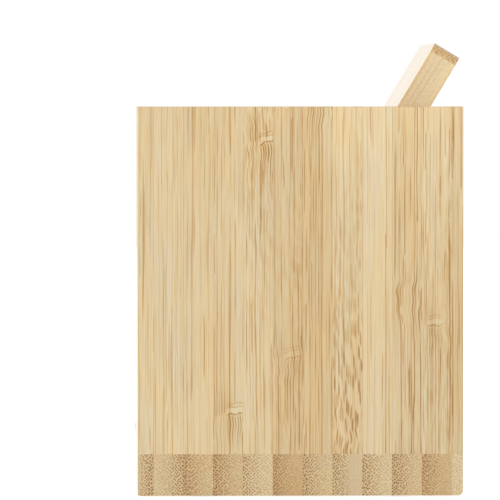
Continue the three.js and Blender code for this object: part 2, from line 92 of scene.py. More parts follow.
half_sheet = 3.0
sheet_corners = [(x * half_sheet, y * half_sheet, 0) for x, y in ((-1, -1), (1, -1), (1, 1), (-1, 1))]
sheet_mesh = bpy.data.meshes.new("table_sheet")
sheet_mesh.from_pydata(sheet_corners, [], [(0, 1, 2, 3)])
table_sheet = bpy.data.objects.new("table_sheet", sheet_mesh)
scene.collection.objects.link(table_sheet)
sheet_paper = bpy.data.materials.new("white_sheet")
sheet_paper.use_nodes = True
paper = sheet_paper.node_tree.nodes["Principled BSDF"]
paper.inputs["Base Color"].default_value = (0.35, 0.35, 0.35, 1)
paper.inputs["Roughness"].default_value = 0.9
paper.inputs["Specular IOR Level"].default_value = 0.1
paper.inputs["Emission Color"].default_value = (1, 1, 1, 1)
paper.inputs["Emission Strength"].default_value = 0.8
sheet_mesh.materials.append(sheet_paper)


def soft_lamp(name, place, towards, size, watts):
    """A square diffusing panel in front of a lamp."""
    lamp = bpy.data.lights.new(name, "AREA")
    lamp.shape = "SQUARE"
    lamp.size = size
    lamp.energy = watts
    set_up(name, lamp, place, towards)


soft_lamp("front_lamp", (-0.25, -1.2, 0.95), towards=(0, 0, 0.07), size=0.9, watts=9.0)
soft_lamp("camera_lamp", (1.5, 0.55, 0.75), towards=(0.05, 0, 0.06), size=0.8, watts=1.0)

panel_low, panel_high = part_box("phone_panel")
edge_near_tip = (7.5 * MM, panel_high.y - 10 * MM, panel_high.z - 15 * MM)
snoot = bpy.data.lights.new("snooted_lamp", "SPOT")
snoot.energy = 28.0
snoot.spot_size = math.radians(4.4)
snoot.spot_blend = 0.8
snoot.shadow_soft_size = 0.05
set_up("snooted_lamp", snoot, (1.2, 0.0, 0.6), edge_near_tip)


# Base plate
# A thick plate of bamboo strips pressed and glued side by side, sanded flush with the cup's walls and lacquered.
# The strips run the length of the plate, so the ends show cut fibre bundles as dots, close together at the side of
# each strip that lay under the bamboo's skin.
class Tone:
    """A value painted over a piece. Arithmetic on tones adds the Math nodes that work it out."""

    def __init__(self, tree, socket=None):
        self.tree = tree
        self.socket = socket

    def node(self, kind, settings=None, inputs=None, output=0):
        """Adds a node of a kind with its settings, then fills its sockets, and gives one of its outputs."""
        made = self.tree.nodes.new(kind)
        for name, value in (settings or {}).items():
            if name == "stops":
                while len(made.color_ramp.elements) < len(value):
                    made.color_ramp.elements.new(0.5)
                for stop, (place, colour) in zip(made.color_ramp.elements, value):
                    stop.position = place
                    stop.color = (*colour, 1)
            elif name == "interpolation":
                made.color_ramp.interpolation = value
            else:
                setattr(made, name, value)
        for name, value in (inputs or {}).items():
            if isinstance(value, Tone):
                self.tree.links.new(made.inputs[name], value.socket)
            else:
                made.inputs[name].default_value = value
        return Tone(self.tree, made.outputs[output])

    def maths(self, operation, *terms):
        return self.node("ShaderNodeMath", {"operation": operation}, dict(enumerate(terms)))

    def __add__(self, other):
        return self.maths("ADD", self, other)

    def __sub__(self, other):
        return self.maths("SUBTRACT", self, other)

    def __rsub__(self, other):
        return self.maths("SUBTRACT", other, self)

    def __mul__(self, other):
        return self.maths("MULTIPLY", self, other)

    def __truediv__(self, other):
        return self.maths("DIVIDE", self, other)

    def __pow__(self, other):
        return self.maths("POWER", self, other)

    def __neg__(self):
        return self * -1.0

    def __abs__(self):
        return self.maths("ABSOLUTE", self)

    __radd__ = __add__
    __rmul__ = __mul__

    def ramp(self, start, end, first, last, way="LINEAR"):
        """First where the value is under start, going over to last at end."""
        limits = {"Value": self, "From Min": start, "From Max": end, "To Min": first, "To Max": last}
        return self.node("ShaderNodeMapRange", {"interpolation_type": way}, limits)

    def below(self, full, none):
        """1 where the value is under full, easing to 0 at none."""
        return self.ramp(full, none, 1.0, 0.0, "SMOOTHSTEP")

    def above(self, none, full):
        """0 where the value is under none, easing to 1 at full."""
        return self.ramp(none, full, 0.0, 1.0, "SMOOTHSTEP")

    def placed(self, x, y, z):
        return self.node("ShaderNodeCombineXYZ", inputs={"X": x, "Y": y, "Z": z})

    def split(self):
        """The three parts of a place or of a colour."""
        made = self.node("ShaderNodeSeparateXYZ", inputs={"Vector": self}).socket.node
        return [Tone(self.tree, out) for out in made.outputs]

    def here(self):
        """The place on the caddy, in metres."""
        return self.node("ShaderNodeTexCoord", output="Object")

    def laid_out(self, turn, start):
        """The place in millimetres from start, along the three directions that turn makes x, y and z."""
        placing = {
            "Vector": self.here(),
            "Location": -(turn @ Vector(start)) / MM,
            "Rotation": turn.to_euler(),
            "Scale": (1 / MM, 1 / MM, 1 / MM),
        }
        return self.node("ShaderNodeMapping", inputs=placing).split()

    def cloud(self, x, y, z, detail):
        """Soft random variation round 0, over the place x, y, z."""
        noise = {"Vector": self.placed(x, y, z), "Scale": 1.0, "Detail": detail}
        return self.node("ShaderNodeTexNoise", inputs=noise) - 0.5

    def speckle(self, per_metre, detail):
        """Soft random variation round 0, equally fine every way."""
        x, y, z = self.here().split()
        return self.cloud(x * per_metre, y * per_metre, z * per_metre, detail)

    def cells(self, x, y, randomness=1.0):
        """Cells scattered over the place x, y: how far the nearest one's middle is, and its colour of chance."""
        scatter = {"Vector": self.placed(x, y, 0.0), "Scale": 1.0, "Randomness": randomness}
        made = self.node("ShaderNodeTexVoronoi", {"voronoi_dimensions": "2D"}, scatter)
        return made, Tone(self.tree, made.socket.node.outputs["Color"])

    # Sockets 0, 6 and 7 of a colour mix are its share and its two colours, and output 2 is the mixed colour.
    def blend(self, first, second):
        """The colour that goes from the first to the second with this value."""
        first, second = (colour if isinstance(colour, Tone) else (*colour, 1) for colour in (first, second))
        settings = {"data_type": "RGBA", "clamp_factor": True}
        return self.node("ShaderNodeMix", settings, {0: self, 6: first, 7: second}, 2)

    def tinted(self, tint):
        """This colour as it looks through another one."""
        settings = {"data_type": "RGBA", "blend_type": "MULTIPLY"}
        return self.node("ShaderNodeMix", settings, {0: 1.0, 6: self, 7: tint}, 2)


def paint(red, green, blue):
    """A colour as a maker mixes it, 0 to 255, turned into the amounts of light that it returns."""
    shares = [part / 255 for part in (red, green, blue)]
    return tuple(s / 12.92 if s <= 0.04045 else ((s + 0.055) / 1.055) ** 2.4 for s in shares)


def finish(name, **settings):
    """A new material with the even part of its finish set on its shader. Gives it, its shader and a first tone."""
    material = bpy.data.materials.new(name)
    material.use_nodes = True
    shader = material.node_tree.nodes["Principled BSDF"]
    for socket, value in settings.items():
        shader.inputs[socket.replace("_", " ").title()].default_value = value
    return material, shader, Tone(material.node_tree)


def feed(shader, socket, tone):
    shader.id_data.links.new(shader.inputs[socket], tone.socket)


def emboss(shader, height, strength, depth):
    """Gives a finish its fine relief, as deep as depth where height goes from 0 to 1."""
    relief = {"Height": height, "Strength": strength, "Distance": depth}
    feed(shader, "Normal", height.node("ShaderNodeBump", inputs=relief))


studio_light = 1.1
lacquer_sheen = 0.08


def seen(red, green, blue):
    """The wood that looks like this colour, 0 to 255, under its lacquer in the studio's light."""
    return tuple((part - lacquer_sheen) / studio_light for part in paint(red, green, blue))


PALE_STRAW = seen(233, 213, 174)
STRAW = seen(221, 195, 149)
HONEY = seen(209, 174, 124)
TOASTED = seen(180, 138, 85)
BUNDLE_BROWN = seen(122, 92, 72)
PITH_GREY = seen(214, 196, 166)
WARM_TINT = (1.035, 0.994, 0.91)
COOL_TINT = (0.955, 1.012, 1.07)
ROSE_TINT = (0.99, 0.992, 1.1)
# What is inside the bamboo, in millimetres: the width of a strip, how far apart its bundles and finer threads of
# fibre lie, and how far it is from one knot of the cane to the next.
strip_width = 9.16
bundle_spacing = 0.78
thread_spacing = 0.48
knot_span = 220.0
# The side of a square whose diagonal is 1: fibres are packed in diamonds.
diamond_side = 0.7071


def bamboo(name, across, along, first_edge, strips=None, seed=0.0, dots=0.25, end_shade=0.02):
    """Glued bamboo strips. They lie side by side in the direction across, from the point first_edge, and their
    fibres run in the direction along. strips says how each one looks, and without it that comes by chance. dots is
    how dark the bundles are on the ends, and end_shade how much deeper the wood is there."""
    material, shader, tone = finish(name, roughness=0.42, coat_weight=0.75, coat_roughness=0.1)
    # In millimetres, a goes across the strips, t through them and h along them.
    a, t, h = tone.laid_out(Matrix((across, Vector(along).cross(Vector(across)), along)), first_edge)
    number = tone.maths("FLOOR", a / strip_width)
    side = tone.maths("FRACT", a / strip_width)
    chance = tone.node(
        "ShaderNodeTexWhiteNoise", {"noise_dimensions": "1D"}, {"W": number + (seed + 0.37)}, "Color"
    )
    chance_a, chance_b, chance_c = chance.split()

    if strips:
        share = (number + 0.5) / len(strips)

        def of_strip(*looks):
            """Three looks of the strips, from a ramp with one step for each strip."""
            stops = [(place / len(strips), [one[look] for look in looks]) for place, one in enumerate(strips)]
            steps = {"interpolation": "CONSTANT", "stops": stops}
            return tone.node("ShaderNodeValToRGB", steps, {"Fac": share}).split()

        colour, lines, flecks = of_strip("colour", "lines", "flecks")
        knot_height, knot_side, hook = of_strip("knot_height", "knot_side", "hook")
        swinging, skin_left, skin_right = of_strip("swinging", "skin_left", "skin_right")
        smooth, grey, _ = of_strip("smooth", "grey", "smooth")
        from_knot = h - knot_height * knot_span
    else:
        colour, lines = chance_a * 0.8 + 0.1, 0.3 + chance_b * 0.4
        flecks = tone.maths("MAXIMUM", (chance_c - 0.75) * 3.0, 0.0)
        knot_side, hook, swinging = 0.3 + chance_a * 0.4, chance_b, 0.4 + chance_c * 0.5
        skin_left = chance_b.above(0.45, 0.5)
        skin_right = 1 - skin_left
        smooth, grey = chance_a.above(0.7, 0.9), chance_c.above(0.6, 1.0) * 0.5
        from_knot = tone.maths("WRAP", h - chance_c * knot_span, knot_span / 2, -knot_span / 2)

    # Fibres wander a little, and swing round a knot. The plane has cut them at a slight slant, so each one comes
    # to the surface for a while and sinks again.
    a_own = a + chance_a * 61.0
    h_own = h + chance_b * 173.0
    near_knot = abs(from_knot + 1.0).below(2.0, 12.0)
    sway = tone.cloud(a_own * 0.06, t * 0.03, h_own * 0.015, 2.0)
    swing = tone.cloud(a_own * 0.08, t * 0.3, h_own * 0.17, 1.0) * near_knot * swinging * 3.6
    fibre = a_own + sway + swing
    slant = tone.cloud(a_own * 0.14, t * 0.05, h_own * 0.02, 1.0) * (1.3 + swinging * 1.6)
    cut = t + chance_c * 47.0 + slant + tone.cloud(fibre * 0.9, t * 0.4, h_own * 0.036, 0.0) * 0.9

    # Broad bands, streaks, pores and fine strands, that make the wood lighter or darker.
    bands = tone.cloud(fibre * 0.2, t * 0.2, h_own * 0.014, 1.0)
    streaks = tone.cloud(fibre * 0.85, t * 0.8, h_own * 0.045, 2.0)
    pores = tone.cloud(fibre * 2.6, t * 2.6, h_own * 0.11, 1.0)
    strands = tone.cells(fibre / 0.26, cut / 0.34)[1].split()[0].above(0.6, 1.0) - 0.2
    wide_strands = tone.cells(fibre / 1.1, cut / 1.3)[1].split()[0] - 0.5
    grain = bands * 0.3 + streaks * 0.1 + strands * (0.26 + lines * 0.7) + wide_strands * 0.04 + pores * 0.5

    # Long dark threads, in groups and closer together towards the skin side.
    def packed(spacing, randomness):
        """Fibres stacked like rods: how far the nearest one's middle is, and its colour of chance."""
        closeness = diamond_side / spacing
        return tone.cells((fibre + cut) * closeness, (fibre - cut) * closeness, randomness)

    from_bundle = packed(bundle_spacing, 0.5)[0]
    from_thread, thread_chance = packed(thread_spacing, 0.8)
    under_skin = skin_left * (1 - side) ** 1.7 + skin_right * side**1.7
    clustered = (bands + streaks * 0.9 + under_skin * 0.1).above(-0.1, 0.16)
    strong = thread_chance.split()[1].above(0.75, 0.9)
    thread = from_thread.below(0.12, 0.42) * lines * (0.1 + clustered * 0.8 + strong * 2.0)
    ripple = tone.maths("SINE", fibre * 6.6).above(0.2, 1.0)
    line = thread + ripple * near_knot * swinging * 0.8

    # Short dark flecks, most of them round the knots.
    from_fleck, fleck_chance = tone.cells(fibre / 0.75, (h_own + fibre * 1.2) / 6.5, 0.9)
    fleck_place = tone.cloud(a * 0.12, number * 5.3, h_own * 0.03, 1.0).above(-0.12, 0.12)
    fleck_kept = fleck_chance.split()[0].above(0.05, 0.35) * (0.6 + fleck_place * 0.6)
    by_knot = abs(from_knot).below(10.0, 95.0)
    fleck_spread = (0.15 + by_knot * 0.85) * (0.12 + by_knot * 0.45 + under_skin * 0.8)
    fleck = from_fleck.below(0.22, 0.5) * fleck_kept * flecks * fleck_spread * 1.1

    # A knot: thin lines across the strip at the joint of the cane, and dark bundles that run out of it.
    right_of_knot = side - knot_side
    joint = from_knot - right_of_knot * 2.0 + tone.cloud(a * 0.5, t * 0.5, h * 0.3, 0.0) * 1.6
    reach = right_of_knot.above(-0.06, 0.04) * right_of_knot.below(0.46, 0.56) * hook
    joint_line = abs(joint).below(0.1, 0.42)
    for height, strength in ((2.1, 0.6), (3.1, 0.5)):
        joint_line += abs(joint - height).below(0.05, 0.3) * strength
    joint_line *= reach
    joint_pale = abs(joint - 1.0).below(0.2, 1.6) * reach
    ragged = tone.cloud(fibre * 1.3, number * 3.1, 0.0, 0.0) * 16.0
    under_knot = joint.below(-1.0, -0.3) * (joint + ragged).above(-14.0, -5.0) * reach
    over_knot = joint.above(0.3, 1.5) * joint.below(3.0, 14.0) * right_of_knot.above(-0.55, -0.3)
    over_knot = over_knot * right_of_knot.below(-0.05, 0.08) * hook
    knot_bundle = (under_knot + over_knot * 0.8) * tone.maths("SINE", fibre * 7.8).above(0.0, 0.8)

    # The ends show cut bundles as dots. The side edges show the skin side of one strip, smooth with short specks, and
    # are painted a little paler as painted light.
    def facing(direction):
        """1 where the surface looks one way or the other along the direction, 0 where it lies along it."""
        sides = {0: tone.node("ShaderNodeTexCoord", output="Normal"), 1: direction}
        return abs(tone.node("ShaderNodeVectorMath", {"operation": "DOT_PRODUCT"}, sides, "Value"))

    end = facing(along).above(0.0, 0.5)
    edge = facing(across).above(0.6, 0.9)
    speck = tone.cells(t / 0.5, h + t)[0].below(0.15, 0.5) * edge
    smooth_half = smooth * (side * skin_left + (1 - side) * skin_right).above(0.42, 0.55)
    spots = from_bundle.below(0.12, 0.42) * (0.34 + under_skin * 0.86) * (1 - smooth_half * 0.8) * end
    glue_line = abs(side - 0.5).above(0.485, 0.497) * (0.05 + chance_b * 0.25)

    # How deep the colour is, from pale straw to toasted.
    depth = (
        colour * 0.5
        + 0.06
        + (1 - end * 0.55) * (1 - edge * 0.6) * grain
        + (1 - end) * (1 - edge * 0.4) * (line * 0.22 + fleck * 0.42 + under_skin * 0.06)
        + speck * 0.24
        # painted light: the side faces are painted a little paler, as if more light fell on them
        - edge * 0.05
        + knot_bundle * 0.65
        + joint_line * 0.75
        - joint_pale * 0.25
        + glue_line * (1 - end * 0.5)
        + end * (colour * 0.2 + end_shade + under_skin * 0.32 + smooth_half * 0.12)
    )
    depths = {"stops": [(0.0, PALE_STRAW), (0.35, STRAW), (0.65, HONEY), (1.0, TOASTED)]}
    wood = tone.node("ShaderNodeValToRGB", depths, {"Fac": depth})
    dusty = (grey * (0.25 + smooth_half * end)).blend(wood, PITH_GREY)

    # At the same depth, the hue goes from fibre to fibre between a warm yellow and a greenish or rosy grey.
    hue = tone.cloud(fibre * 0.9, t * 0.9, h_own * 0.07, 1.0) + tone.cloud(fibre * 0.12, t * 0.1, h_own * 0.02, 1.0)
    rose = tone.cloud(fibre * 0.4, t * 0.4, h_own * 0.05, 1.0)
    cool = (0.5 + rose * 3.0).blend(COOL_TINT, ROSE_TINT)
    tint = (0.5 + hue * (1 - end * 0.7) * 2.2).blend(WARM_TINT, cool)
    feed(shader, "Base Color", (spots * dots).blend(dusty.tinted(tint), BUNDLE_BROWN))
    feed(shader, "Roughness", 0.44 + strands * 0.1 + end * 0.12)
    emboss(shader, strands * 0.5 - from_bundle.below(0.1, 0.36) * 0.6, strength=0.12, depth=0.05 * MM)
    return material


def strip(colour, lines=0.45, knot_height=0.0, **looks):
    """How one strip looks: how deep its colour is, how strong its threads are, how many millimetres up its knot is,
    and what else sets it apart from a plain strip."""
    plain = dict.fromkeys(("flecks", "hook", "swinging", "skin_left", "skin_right", "smooth"), 0.0)
    plain |= {"knot_side": 0.5, "grey": 0.12}
    return {**plain, "colour": colour, "lines": lines, "knot_height": knot_height / knot_span, **looks}


seam_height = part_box("base_plate")[1].z
glue_film = 0.1 * MM


def ease_edges(shape, ease, seam=None):
    """Rounds the sharp outer edges of a shape, except at the height of a seam."""
    sharp = [
        edge
        for edge in shape.edges
        if edge.is_manifold
        and edge.is_convex
        and edge.calc_face_angle() > math.radians(40)
        and (seam is None or abs((edge.verts[0].co.z + edge.verts[1].co.z) / 2 - seam) > glue_film)
    ]
    rounded = bmesh.ops.bevel(
        shape,
        geom=sharp,
        offset=ease,
        offset_type="OFFSET",
        segments=3,
        profile=0.5,
        affect="EDGES",
        clamp_overlap=True,
    )
    for face in rounded["faces"]:
        face.smooth = True


def each(nodes):
    return [nodes] if isinstance(nodes, str) else nodes


def fit(piece, nodes, material):
    """Finishes a piece, fixes it to the caddy and lets it stand for nodes of the frame."""
    if material.name not in piece.data.materials:
        piece.data.materials.append(material)
    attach(piece, "root")
    if nodes:
        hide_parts(*each(nodes))


def set_down(shape, name, place=None):
    """Turns a worked shape into a piece, with its place in its mesh."""
    if place is not None:
        shape.transform(place)
    mesh = bpy.data.meshes.new(name)
    shape.to_mesh(mesh)
    shape.free()
    piece = bpy.data.objects.new(name, mesh)
    scene.collection.objects.link(piece)
    return piece


def fit_eased(nodes, name, material, ease=0.25 * MM, seam=None):
    """Fits nodes of the frame as one piece with their sharp edges eased, as with fine paper. At the height of a
    glued and sanded seam a board fills the glue's thickness, and its edges stay sharp."""
    shape = bmesh.new()
    for node in each(nodes):
        shape.from_mesh(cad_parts[node].data)
    bmesh.ops.remove_doubles(shape, verts=shape.verts, dist=0.002 * MM)
    for corner in shape.verts:
        if seam is not None and abs(corner.co.z - seam) < glue_film * 1.5:
            corner.co.z = seam
    bmesh.ops.dissolve_limit(shape, angle_limit=math.radians(1), verts=shape.verts, edges=shape.edges)
    ease_edges(shape, ease, seam)
    fit(set_down(shape, name), nodes, material)


# The strips of the plate and of the end wall line up. The first strip is cut through by the front edge.
lengthways = (1, 0, 0)
crossways = (0, 1, 0)
first_strip_edge = wall_low.y - 4.28 * MM
plate_strips = [
    strip(0.22, skin_right=1.0, smooth=1.0, grey=0.3),
    strip(0.25, skin_right=0.9),
    strip(0.45, skin_left=0.9),
    strip(0.45, skin_left=1.0),
    strip(0.15, skin_left=0.8),
    strip(0.65, skin_left=0.7, smooth=1.0),
    strip(0.30, skin_left=0.9),
    strip(0.25, skin_left=0.9, smooth=0.8, grey=0.45),
    strip(0.15, skin_left=1.0),
    strip(0.32, skin_left=1.0),
    strip(0.55, skin_left=0.8, smooth=0.9),
    strip(0.05, skin_left=0.1),
]
plate_wood = bamboo(
    "plate_bamboo", crossways, lengthways, (0, first_strip_edge, 0), strips=plate_strips, seed=3.0, dots=1.0
)
fit_eased("base_plate", "plate_board", plate_wood, seam=seam_height)

# Pen cup
# Four bamboo boards with upright grain. The end walls stand on the plate, glued and screwed from beneath, and take
# the front and back walls in rabbets. Outside they are sanded flush with the plate.
up = (0, 0, 1)
outer_wall_strips = [
    strip(0.42, lines=0.5),
    strip(0.28),
    strip(0.40),
    strip(0.46, lines=0.55, knot_height=25.2, knot_side=0.47, hook=1.0, swinging=0.5),
    strip(0.20, lines=0.5, knot_height=108.5, knot_side=0.55, hook=1.0, swinging=0.9, flecks=0.7, skin_right=0.9),
    strip(0.56, knot_height=42.5, knot_side=0.4, hook=0.4, swinging=0.5, flecks=0.5, skin_right=1.0),
    strip(0.62, knot_height=122.0, swinging=0.6, flecks=0.15, skin_right=0.8),
    strip(0.23, lines=0.25, knot_height=20.5, swinging=0.9, flecks=1.6, skin_right=1.0),
    strip(0.34, lines=0.55),
    strip(0.55, lines=0.65, knot_height=60.9, swinging=1.0, flecks=0.2, skin_right=0.8),
    strip(0.38, lines=0.5, knot_height=52.3, knot_side=0.2, hook=0.5, swinging=0.35, flecks=0.4, skin_right=0.9),
    strip(0.74, lines=0.6),
]
end_wall_start = (0, first_strip_edge, 0)
front_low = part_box("cup_front_wall")[0]
for wall, across, start, wall_strips, seed in (
    ("outer", crossways, end_wall_start, outer_wall_strips, 11.0),
    ("inner", crossways, end_wall_start, None, 23.0),
    ("front", lengthways, (front_low.x - 2 * MM, 0, 0), None, 37.0),
    ("back", lengthways, (front_low.x - 5 * MM, 0, 0), None, 53.0),
):
    wood = bamboo(f"{wall}_wall_bamboo", across, up, start, strips=wall_strips, seed=seed)
    fit_eased(f"cup_{wall}_wall", f"{wall}_wall_board", wood, seam=seam_height)

# Leaning panel
# One bamboo board that leans back by 31 degrees, glued with its foot in a groove of the plate and dowelled to the
# cup's wall. Its charger lies in a pocket cut from behind, and a fine ring in front marks the middle of the coil.
lean = math.radians(31)
up_the_slope = (0, math.sin(lean), math.cos(lean))
panel_strips = [
    strip(0.30, lines=0.6),
    strip(0.45, lines=0.5, knot_height=66.0, knot_side=0.4, hook=1.0, swinging=0.4),
    strip(0.22, lines=0.6, skin_right=0.8),
    strip(0.55, lines=0.5, knot_height=136.4, swinging=0.9, skin_left=0.7),
    strip(0.35, lines=0.6),
    strip(0.18, lines=0.5, flecks=0.9, skin_right=1.0),
    strip(0.48, lines=0.5, knot_height=96.8, knot_side=0.5, hook=1.0, swinging=0.5),
    strip(0.30, lines=0.6, skin_left=0.9),
    strip(0.60, lines=0.5, knot_height=44.0, swinging=0.7, skin_right=0.8),
    strip(0.25, lines=0.5),
    strip(0.0, lines=0.35, skin_left=0.9, skin_right=0.9),
]
panel_start = (panel_low.x - 6.2 * MM, 0, 0)
panel_wood = bamboo(
    "panel_bamboo", lengthways, up_the_slope, panel_start, strips=panel_strips, seed=74.0, dots=0.75, end_shade=0.36
)
fit_eased("phone_panel", "panel_board", panel_wood)

# Phone stop
# A square bamboo strip with its grain along the plate, glued into a groove in front of the panel so that a phone's
# foot can't slide away. Its upper front edge is rounded.
stop_start = (0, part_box("phone_stop")[0].y - 2 * MM, 0)
stop_wood = bamboo("stop_bamboo", crossways, lengthways, stop_start, seed=87.0, dots=0.8)
fit_eased("phone_stop", "stop_strip", stop_wood, ease=0.2 * MM)

# Rear cover
# A thin bamboo lid over the charger's pocket, let in flush with the back of the panel and held by four screws. Its
# grain runs up the slope, like the panel's.
cover_start = (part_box("rear_cover")[0].x - 4 * MM, 0, 0)
cover_wood = bamboo("cover_bamboo", lengthways, up_the_slope, cover_start, seed=95.0, dots=0.8)
fit_eased("rear_cover", "cover_board", cover_wood, ease=0.15 * MM)

# Dowels
# Two fluted bamboo pegs between the panel's side edge and the cup's wall. The flutes let the glue out of the bore,
# and both ends are chamfered to start them straight.
peg_chamfer = 0.5 * MM
flute_depth = 0.22 * MM
flutes = 12


def turned(profile, sides, shares=(1,)):
    """A turned shape round X from pairs of place and radius. Its sides have these shares of the radius in turn."""
    shape = bmesh.new()
    rings = []
    for place, radius in profile:
        ring = []
        for side in range(sides):
            angle = math.tau * side / sides
            reach = radius * shares[side % len(shares)]
            ring.append(shape.verts.new((place, reach * math.cos(angle), reach * math.sin(angle))))
        rings.append(ring)
    for low, high in zip(rings, rings[1:]):
        for side in range(sides):
            after = (side + 1) % sides
            shape.faces.new((low[side], high[side], high[after], low[after]))
    shape.faces.new(rings[0])
    shape.faces.new(reversed(rings[-1]))
    bmesh.ops.recalc_face_normals(shape, faces=shape.faces)
    return shape


for level in ("lower", "upper"):
    low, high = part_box(f"panel_dowel_{level}")
    radius = (high.y - low.y) / 2
    middle = (low + high) / 2
    profile = [
        (low.x, radius - peg_chamfer),
        (low.x + peg_chamfer, radius),
        (high.x - peg_chamfer, radius),
        (high.x, radius - peg_chamfer),
    ]
    in_flute = 1 - flute_depth / radius
    shares = (1, 1, in_flute, in_flute)
    peg = turned(profile, flutes * len(shares), shares)
    peg = set_down(peg, f"{level}_peg", Matrix.Translation((0, middle.y, middle.z)))
    start = (0, low.y - 3 * MM, 0)
    wood = bamboo(f"{level}_peg_bamboo", crossways, lengthways, start, seed=low.z / MM, dots=0.8)
    fit(peg, f"panel_dowel_{level}", wood)

# Screws
# Zinc-plated countersunk wood screws with a cross recess and a rolled thread. Four long ones come up through the
# plate into the end walls, and four short ones hold the rear cover.


def plan(name, sizes):
    """A Geometry Nodes tree with a named input for each size. Gives the tree and its inputs as tones."""
    tree = bpy.data.node_groups.new(name, "GeometryNodeTree")
    tree.interface.new_socket("Places", in_out="INPUT", socket_type="NodeSocketGeometry")
    for size in sizes:
        tree.interface.new_socket(size, in_out="INPUT", socket_type="NodeSocketFloat")
    tree.interface.new_socket("Axis", in_out="INPUT", socket_type="NodeSocketVector")
    tree.interface.new_socket("Finish", in_out="INPUT", socket_type="NodeSocketMaterial")
    tree.interface.new_socket("Pieces", in_out="OUTPUT", socket_type="NodeSocketGeometry")
    entry = tree.nodes.new("NodeGroupInput")
    return Tone(tree), {socket.name: Tone(tree, socket) for socket in entry.outputs if socket.name}


def moved(tone, shape, x, y, z):
    """A shape of a tree with each of its points moved to x, y, z."""
    return tone.node("GeometryNodeSetPosition", inputs={"Geometry": shape, "Position": tone.placed(x, y, z)})


def stand_at_places(tone, given, shape, scale=1.0):
    """Ends a tree: a copy of the shape at each place, turned along the axis, made real and finished."""
    turn = tone.node("FunctionNodeAlignRotationToVector", {"axis": "Z"}, {"Vector": given["Axis"]})
    copies = tone.node(
        "GeometryNodeInstanceOnPoints",
        inputs={"Points": given["Places"], "Instance": shape, "Rotation": turn, "Scale": (scale, scale, scale)},
    )
    real = tone.node("GeometryNodeRealizeInstances", inputs={"Geometry": copies})
    done = tone.node("GeometryNodeSetMaterial", inputs={"Geometry": real, "Material": given["Finish"]})
    tone.tree.links.new(tone.tree.nodes.new("NodeGroupOutput").inputs[0], done.socket)


def made_from(tone, name, places, sizes, material, axis=(0, 0, 1), place=None, crease=35, ease=0.0):
    """Runs a tree over the places and gives the plain piece that it makes, with its edges eased if asked. Edges
    sharper than crease, in degrees, stay sharp to the eye."""
    mesh = bpy.data.meshes.new(f"{name}_places")
    mesh.from_pydata([tuple(point) for point in places], [], [])
    piece = bpy.data.objects.new(name, mesh)
    scene.collection.objects.link(piece)
    making = piece.modifiers.new("making", "NODES")
    making.node_group = tone.tree
    values = {**sizes, "Axis": axis, "Finish": material}
    for item in tone.tree.interface.items_tree:
        if item.in_out == "INPUT" and item.name in values:
            making[item.identifier] = values[item.name]
    bpy.context.view_layer.update()
    plain = bpy.data.meshes.new_from_object(piece.evaluated_get(bpy.context.evaluated_depsgraph_get()))
    piece.modifiers.remove(making)
    piece.data = plain
    plain.materials.clear()
    plain.materials.append(material)
    shape = bmesh.new()
    shape.from_mesh(plain)
    if ease:
        ease_edges(shape, ease)
    if place is not None:
        shape.transform(place)
    for face in shape.faces:
        face.material_index = 0
        face.smooth = True
    shape.to_mesh(plain)
    shape.free()
    plain.set_sharp_from_angle(angle=math.radians(crease))
    return piece


def underside(node):
    """The middle of a node's lowest face."""
    low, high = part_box(node)
    return ((low.x + high.x) / 2, (low.y + high.y) / 2, low.z)


# The screw starts as a long cylinder of radius 1. down is 0 at the face of its head and minus its length at its tip.
screw, given = plan(
    "screw_maker",
    ["Head Radius", "Head Height", "Root Radius", "Thread", "Pitch", "Length", "Tip", "Slot Reach", "Slot Width"],
)
blank = screw.node(
    "GeometryNodeMeshCylinder",
    {"fill_type": "TRIANGLE_FAN"},
    {"Vertices": 24, "Side Segments": 130, "Radius": 1.0, "Depth": given["Length"]},
)
x, y, z = screw.node("GeometryNodeInputPosition").split()
down = z - given["Length"] / 2
turn = screw.maths("FRACT", down / given["Pitch"] + screw.maths("ARCTAN2", y, x) / math.tau)
ridge = 1 - abs(turn * 2 - 1)
threaded = (down + given["Head Height"] * 1.6).below(-given["Pitch"], 0.0)
shank = given["Root Radius"] + given["Thread"] * ridge * threaded
flare = down.ramp(-given["Head Height"], 0.0, given["Root Radius"], given["Head Radius"])
point = down.ramp(-given["Length"], given["Tip"] - given["Length"], 0.03, 1.0)
around = screw.maths("MAXIMUM", shank, flare) * point
body = moved(screw, blank, x * around, y * around, down)
slot_length = given["Slot Reach"] * 2
slot_depth = given["Slot Width"] * 2.4


def slot_cut(blank, across, along):
    """The blank with one slot of the cross punched into its head."""
    punch = screw.node("GeometryNodeMeshCube", inputs={"Size": screw.placed(across, along, slot_depth)})
    settings = {"operation": "DIFFERENCE", "solver": "MANIFOLD"}
    return screw.node("GeometryNodeMeshBoolean", settings, {"Mesh 1": blank, "Mesh 2": punch})


cut_head = slot_cut(slot_cut(body, slot_length, given["Slot Width"]), given["Slot Width"], slot_length)
stand_at_places(screw, given, cut_head, scale=MM)


def mottle(shader, share, colour, shade, roughness):
    """Paints a finish, from its colour to its shade by share, and gives it its roughness."""
    feed(shader, "Base Color", share.blend(colour, shade))
    feed(shader, "Roughness", roughness)


ZINC = paint(188, 186, 176)
ZINC_SHADE = paint(150, 150, 146)
zinc, shader, tone = finish("zinc_plate", metallic=1.0, roughness=0.3)
crystals = tone.speckle(1800, 3.0)
tumbling = tone.speckle(260, 2.0)
mottle(shader, tumbling * 1.2 + 0.5, ZINC, ZINC_SHADE, 0.3 + crystals * 0.2 + tumbling * 0.1)
emboss(shader, crystals, strength=0.1, depth=0.02 * MM)

